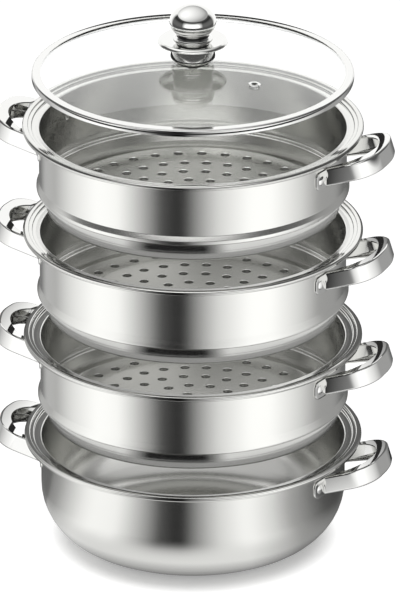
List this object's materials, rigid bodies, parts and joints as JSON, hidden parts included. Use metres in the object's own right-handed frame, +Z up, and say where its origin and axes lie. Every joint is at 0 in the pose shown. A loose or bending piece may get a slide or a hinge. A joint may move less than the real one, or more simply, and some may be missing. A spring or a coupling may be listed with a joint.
{
  "type": "steamer pot",
  "caption": "Stainless steamer set: a wide pot, nesting perforated baskets with loop handles and a domed glass lid with a ball knob, lifted apart on one axis.",
  "frame": {"origin": "centre of the pot's base, on the surface it stands on", "axes": "+Z up along the common axis of all pieces, X through the loop handles, -Y to the front"},
  "size_m": [0.3772, 0.313, 0.5287],
  "materials": {
    "satin_steel": "satin-brushed stainless sheet",
    "polished_steel": "mirror-polished stainless steel",
    "lid_glass": "clear tempered glass",
    "seal": "black silicone"
  },
  "bodies": {
    "pot": {"pot_bowl": "satin_steel", "pot_base_disc": "satin_steel", "pot_handle_left": "polished_steel", "pot_handle_right": "polished_steel", "pot_rivets": "polished_steel"},
    "steamer_1": {"steamer_1_basket": "satin_steel", "steamer_1_handle_left": "polished_steel", "steamer_1_handle_right": "polished_steel", "steamer_1_rivets": "polished_steel"},
    "steamer_2": {"steamer_2_basket": "satin_steel", "steamer_2_handle_left": "polished_steel", "steamer_2_handle_right": "polished_steel", "steamer_2_rivets": "polished_steel"},
    "steamer_3": {"steamer_3_basket": "satin_steel", "steamer_3_handle_left": "polished_steel", "steamer_3_handle_right": "polished_steel", "steamer_3_rivets": "polished_steel"},
    "lid": {"lid_glass": "lid_glass", "lid_rim_band": "polished_steel", "lid_vent_grommet": "polished_steel", "knob_cap": "polished_steel", "knob_body": "polished_steel", "knob_neck_ring": "seal", "knob_collar": "polished_steel", "knob_finger_guard": "polished_steel", "knob_foot_cup": "polished_steel", "knob_spacer": "polished_steel", "knob_upper_gasket": "seal", "knob_lower_gasket": "seal", "knob_washer": "polished_steel", "knob_screw": "polished_steel"}
  },
  "joints": [
    {"name": "steamer_1_lift", "type": "slide", "parent": "pot", "child": "steamer_1", "axis": [0, 0, 1], "range_m": [-0.0396, 0.06]},
    {"name": "steamer_2_lift", "type": "slide", "parent": "steamer_1", "child": "steamer_2", "axis": [0, 0, 1], "range_m": [-0.044, 0.06]},
    {"name": "steamer_3_lift", "type": "slide", "parent": "steamer_2", "child": "steamer_3", "axis": [0, 0, 1], "range_m": [-0.0421, 0.06]},
    {"name": "lid_lift", "type": "slide", "parent": "steamer_3", "child": "lid", "axis": [0, 0, 1], "range_m": [-0.0471, 0.06]}
  ]
}
